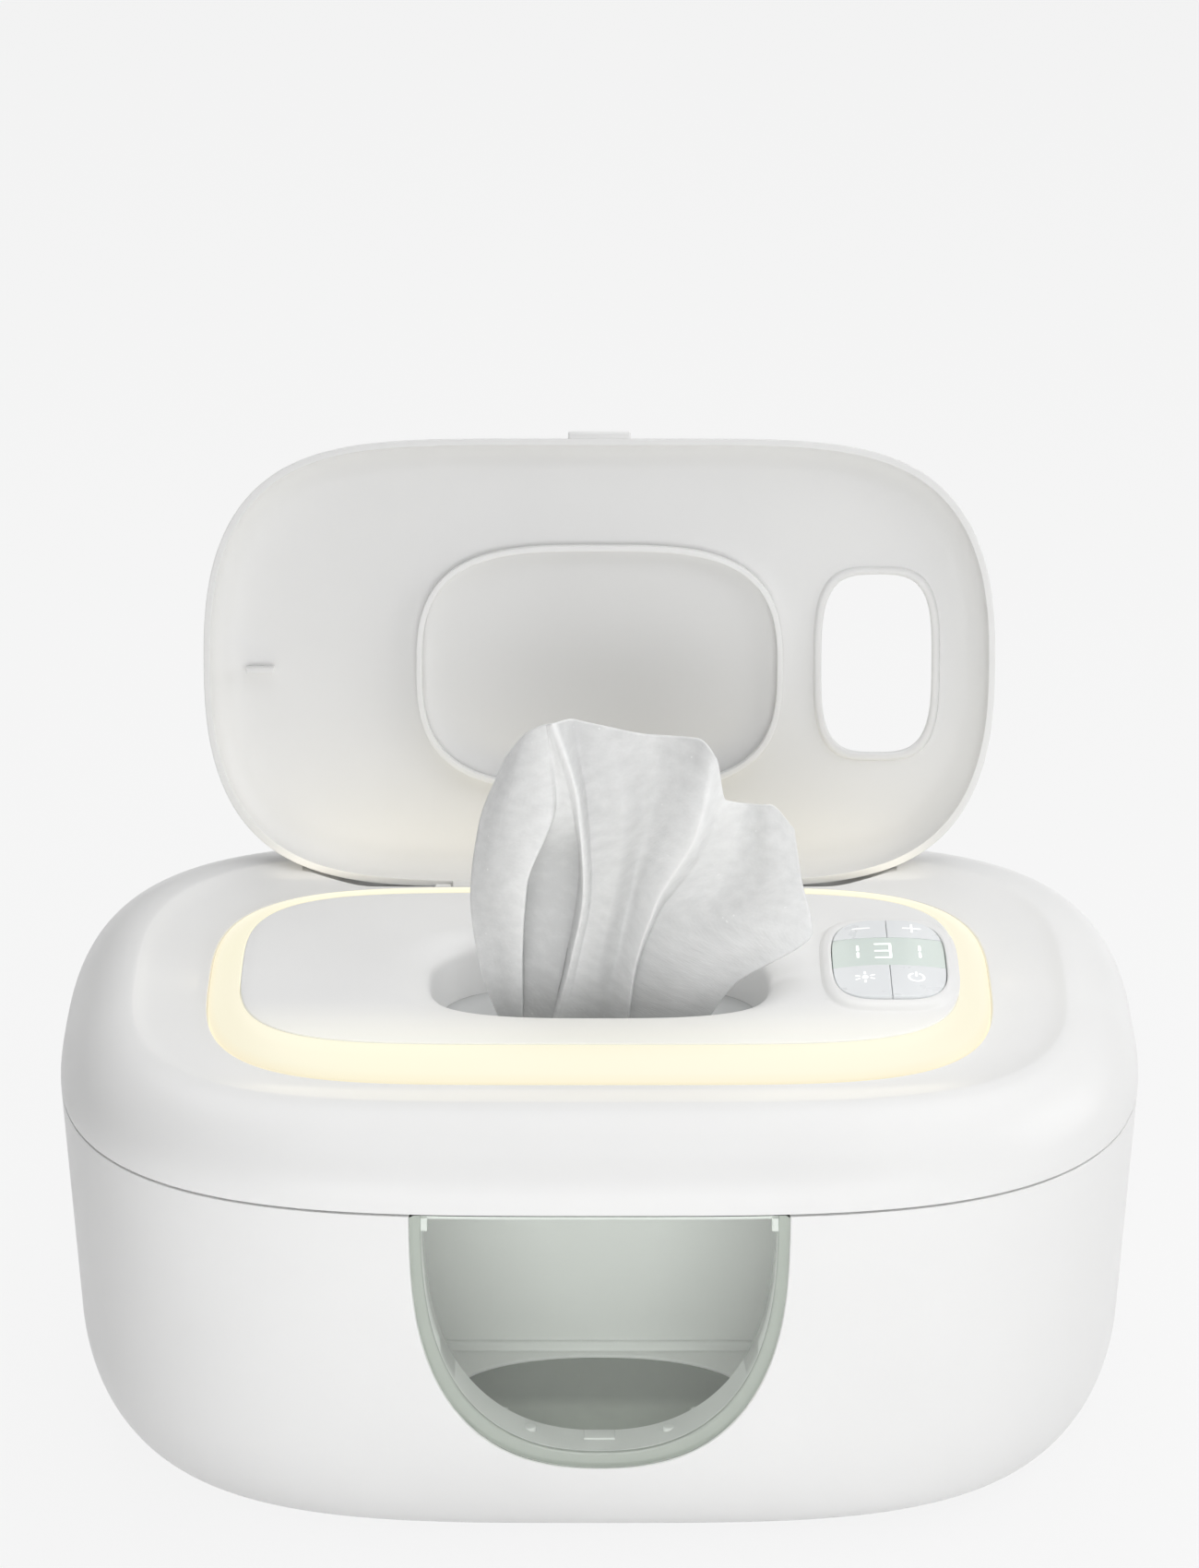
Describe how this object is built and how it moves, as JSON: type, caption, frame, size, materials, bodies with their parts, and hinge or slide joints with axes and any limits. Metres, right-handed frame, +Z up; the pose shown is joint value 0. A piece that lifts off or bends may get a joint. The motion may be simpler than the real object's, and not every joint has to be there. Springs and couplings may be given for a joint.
{
  "type": "baby wipe warmer",
  "caption": "White rounded wipe warmer with a clear front window, hinged cover with light ring, dispensing mouth and keypad, and an open flip lid.",
  "frame": {"origin": "centre of the tub's outline on the surface that the foot ring stands on", "axes": "+X towards the right end with the keypad, +Y towards the back with the hinges, +Z up"},
  "size_m": [0.24, 0.176, 0.2041],
  "materials": {
    "white_shell": "smooth white, low gloss",
    "tray_plastic": "satin off-white",
    "clear_lens": "clear grey-green tinted plastic",
    "dark_plate": "dark grey-green non-stick coating",
    "heater_film": "amber polyimide film",
    "insulation": "foam sheet",
    "black_plastic": "matte black",
    "steel": "plated steel",
    "grey_rubber": "soft matte rubber",
    "circuit_board": "solder-masked board",
    "light_guide": "translucent diffuser, lit warm white",
    "silicone_seal": "soft translucent silicone",
    "display_window": "pale green tinted window",
    "key_plastic": "pale bluish grey, low gloss",
    "lid_rib": "soft white sealing rib",
    "wipe_cloth": "moist embossed non-woven"
  },
  "bodies": {
    "tub": {"lower_housing": "white_shell", "window_lens": "clear_lens", "inner_tray": "tray_plastic", "heating_plate": "dark_plate", "heater_film": "heater_film", "insulation_sheet": "insulation", "thermal_cutout": "black_plastic", "base_plate": "white_shell", "base_screws": "steel", "foot_ring": "grey_rubber", "power_board": "circuit_board", "power_inlet": "black_plastic", "cover_hinge_pin": "steel"},
    "cover": {"top_cover": "white_shell", "light_ring": "light_guide", "led_board": "circuit_board", "deck": "white_shell", "dispensing_seal": "silicone_seal", "display_lens": "display_window", "display_board": "circuit_board", "key_switches": "black_plastic", "cover_liner": "tray_plastic", "cover_screws": "steel", "cover_gasket": "silicone_seal", "lid_hinge_pins": "steel", "wipe": "wipe_cloth"},
    "lid": {"lid_shell": "white_shell", "lid_seal_ring": "lid_rib"},
    "minus": {"minus_key": "key_plastic"},
    "plus": {"plus_key": "key_plastic"},
    "light": {"light_key": "key_plastic"},
    "power": {"power_key": "key_plastic"}
  },
  "joints": [
    {"name": "cover_hinge", "type": "hinge", "parent": "tub", "child": "cover", "pos_m": [0, 0.0868, 0.0855], "axis": [-1, 0, 0], "range_deg": [0, 80]},
    {"name": "lid_hinge", "type": "hinge", "parent": "cover", "child": "lid", "pos_m": [0, 0.0531, 0.1016], "axis": [1, 0, 0], "range_deg": [0, 104], "deforming": ["wipe"]},
    {"name": "minus_press", "type": "slide", "parent": "cover", "child": "minus", "axis": [0, 0, -1], "range_m": [0, 0.0008], "stiffness_N_per_m": 300, "springref_m": -0.0005},
    {"name": "plus_press", "type": "slide", "parent": "cover", "child": "plus", "axis": [0, 0, -1], "range_m": [0, 0.0008], "stiffness_N_per_m": 300, "springref_m": -0.0005},
    {"name": "light_press", "type": "slide", "parent": "cover", "child": "light", "axis": [0, 0, -1], "range_m": [0, 0.0008], "stiffness_N_per_m": 300, "springref_m": -0.0005},
    {"name": "power_press", "type": "slide", "parent": "cover", "child": "power", "axis": [0, 0, -1], "range_m": [0, 0.0008], "stiffness_N_per_m": 300, "springref_m": -0.0005}
  ]
}
